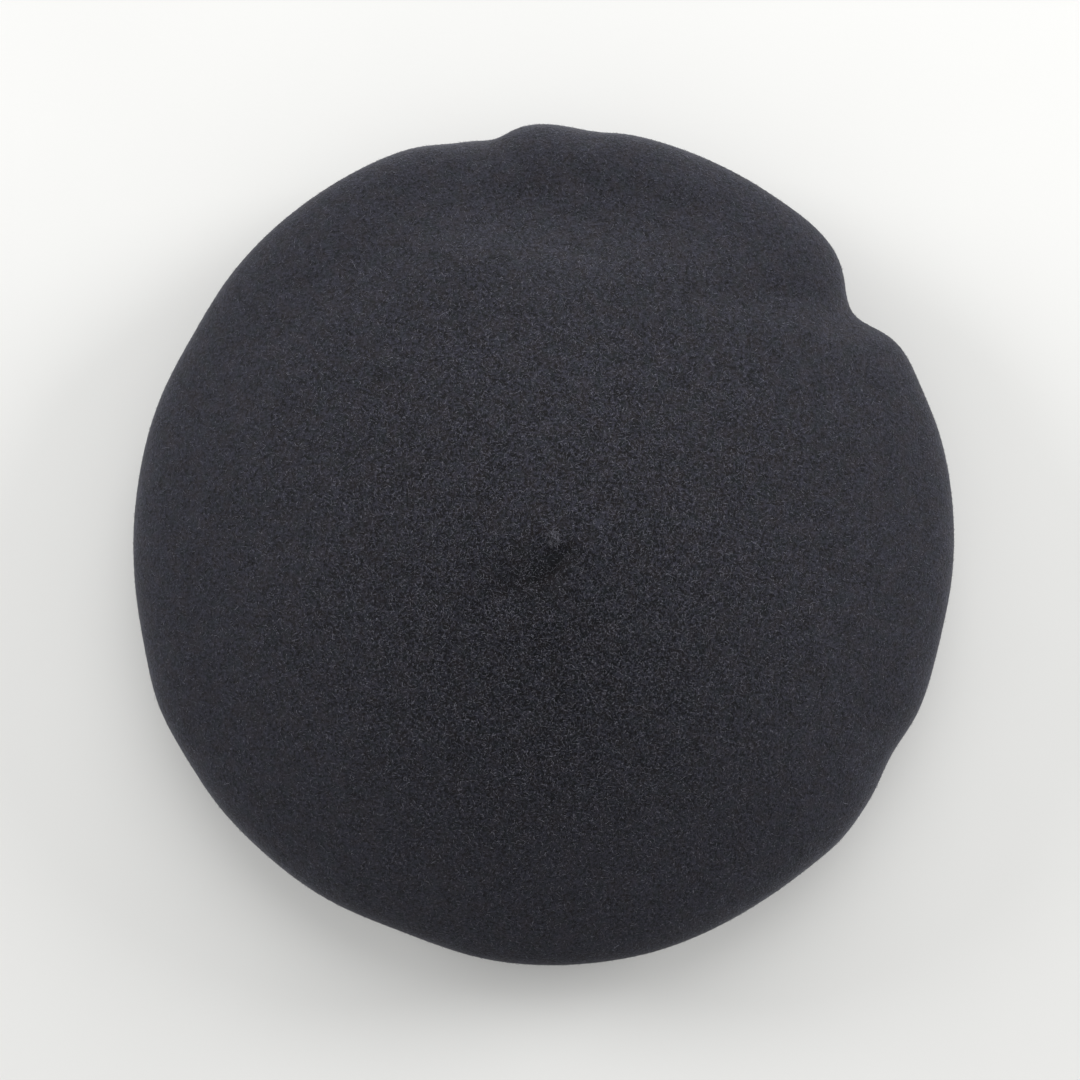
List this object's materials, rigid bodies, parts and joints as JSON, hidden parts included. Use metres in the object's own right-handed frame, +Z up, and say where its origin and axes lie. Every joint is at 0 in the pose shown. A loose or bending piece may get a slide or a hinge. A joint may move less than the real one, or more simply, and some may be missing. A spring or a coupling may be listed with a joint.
{
  "type": "beret",
  "caption": "Round felted wool beret with a soft overhanging crown, a leather sweatband that grips the head, a satin lining and blank hanging labels.",
  "frame": {"origin": "on the surface the hat rests on, under the middle of its outline", "axes": "+Z up through the crown; +Y towards the back of the hat; +X to the wearer's right"},
  "size_m": [0.285, 0.2919, 0.0593],
  "materials": {
    "felt": "black felted wool with a short soft nap and a faint blue sheen",
    "leather": "thin smooth black leather, semi-matt",
    "tape": "black woven cotton stay tape",
    "thread": "black waxed sewing thread",
    "lining": "black satin lining, soft gloss",
    "lining_thread": "black polyester sewing thread",
    "woven_label": "blank woven label, off-white",
    "label_thread": "off-white sewing thread",
    "satin_label": "blank white satin ribbon"
  },
  "bodies": {
    "hat": {"felt_body": "felt", "centre_nub": "felt", "sweatband": "leather", "edge_tape": "tape", "band_seam_thread": "thread", "band_join_thread": "thread", "lining_tip": "lining", "lining_side": "lining", "tip_seam_thread": "lining_thread", "maker_label": "woven_label", "maker_label_thread": "label_thread"},
    "care_flap": {"care_label": "satin_label"},
    "size_flap": {"size_tab": "satin_label"}
  },
  "joints": [
    {"name": "care_label_swing", "type": "hinge", "parent": "hat", "child": "care_flap", "pos_m": [-0.007, 0.075, 0.0406], "axis": [-1, 0, 0], "range_deg": [-80, 80]},
    {"name": "size_tab_swing", "type": "hinge", "parent": "hat", "child": "size_flap", "pos_m": [0.0135, 0.075, 0.0406], "axis": [-1, 0, 0], "range_deg": [-80, 80]}
  ]
}
